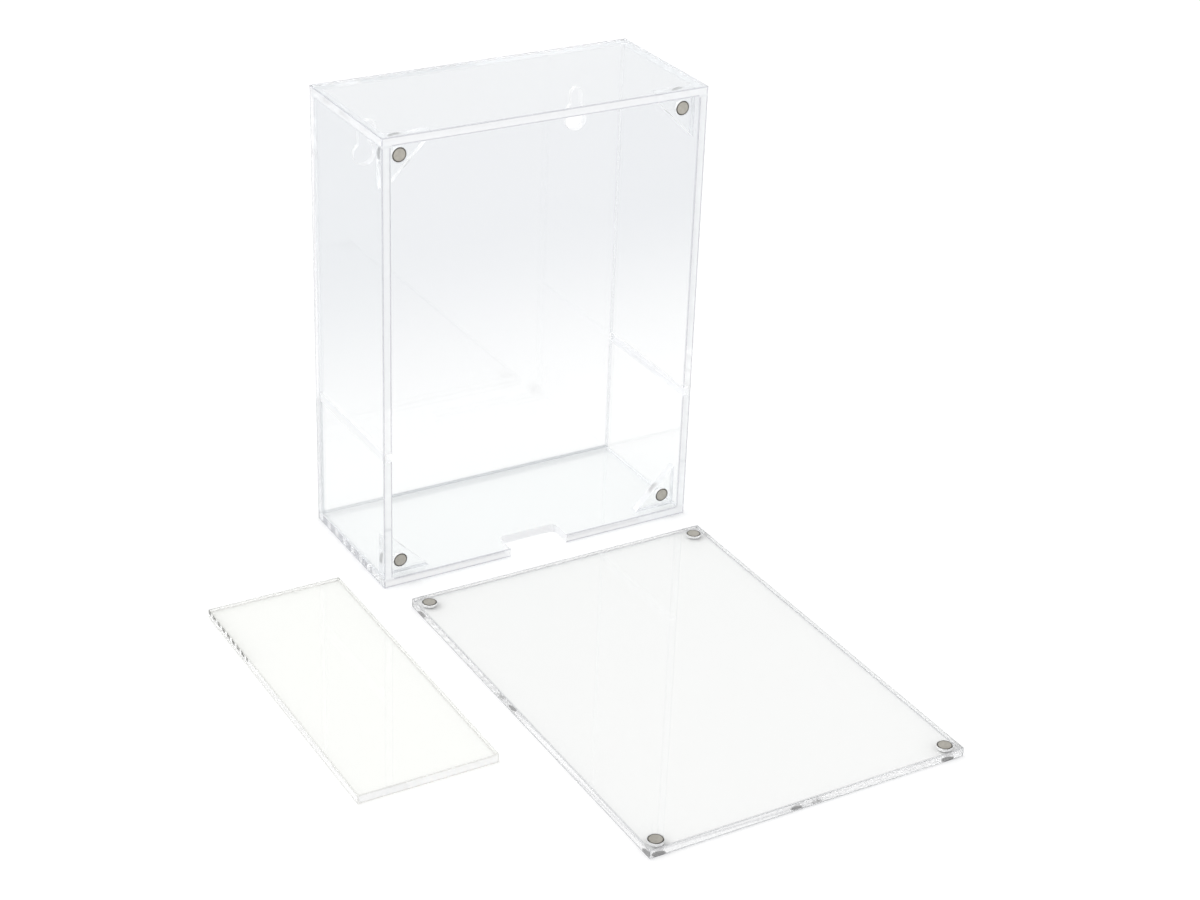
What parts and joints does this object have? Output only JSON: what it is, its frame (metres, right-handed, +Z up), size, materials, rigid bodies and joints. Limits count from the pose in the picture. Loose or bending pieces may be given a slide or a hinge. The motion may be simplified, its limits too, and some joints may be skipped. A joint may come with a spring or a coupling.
{
  "type": "card deck box",
  "caption": "Upright clear acrylic box for card decks, open at the front, with a magnetic front cover and a removable shelf lying beside it.",
  "frame": {"origin": "centre of the base plate's underside, on the surface that the box stands on", "axes": "+X to the box's right as seen from the front, +Y from the open front to the back panel, +Z up"},
  "size_m": [0.1772, 0.2218, 0.16],
  "materials": {
    "clear_acrylic": "clear cast acrylic sheet, polished faces and cut edges",
    "clear_acrylic_cover": "clear cast acrylic sheet, polished faces and cut edges",
    "clear_acrylic_shelf": "clear cast acrylic sheet, polished faces and cut edges",
    "nickel_magnet": "nickel plating, satin, with fine wear"
  },
  "bodies": {
    "box": {"base_plate": "clear_acrylic", "top_plate": "clear_acrylic", "left_wall": "clear_acrylic", "right_wall": "clear_acrylic", "back_panel": "clear_acrylic", "gusset_top_left": "clear_acrylic", "gusset_top_right": "clear_acrylic", "gusset_bottom_left": "clear_acrylic", "gusset_bottom_right": "clear_acrylic", "box_magnet_top_left": "nickel_magnet", "box_magnet_top_right": "nickel_magnet", "box_magnet_bottom_left": "nickel_magnet", "box_magnet_bottom_right": "nickel_magnet"},
    "cover": {"front_cover": "clear_acrylic_cover", "cover_magnet_top_left": "nickel_magnet", "cover_magnet_top_right": "nickel_magnet", "cover_magnet_bottom_left": "nickel_magnet", "cover_magnet_bottom_right": "nickel_magnet"},
    "shelf": {"shelf": "clear_acrylic_shelf"}
  },
  "joints": [
    {"name": "cover_close", "type": "hinge", "parent": "box", "child": "cover", "pos_m": [0, -0.03265, -0.00565], "axis": [1, 0, 0], "range_deg": [-90, 0]},
    {"name": "shelf_lift", "type": "slide", "parent": "box", "child": "shelf", "axis": [0, 0, 1], "range_m": [0, 0.06]}
  ]
}
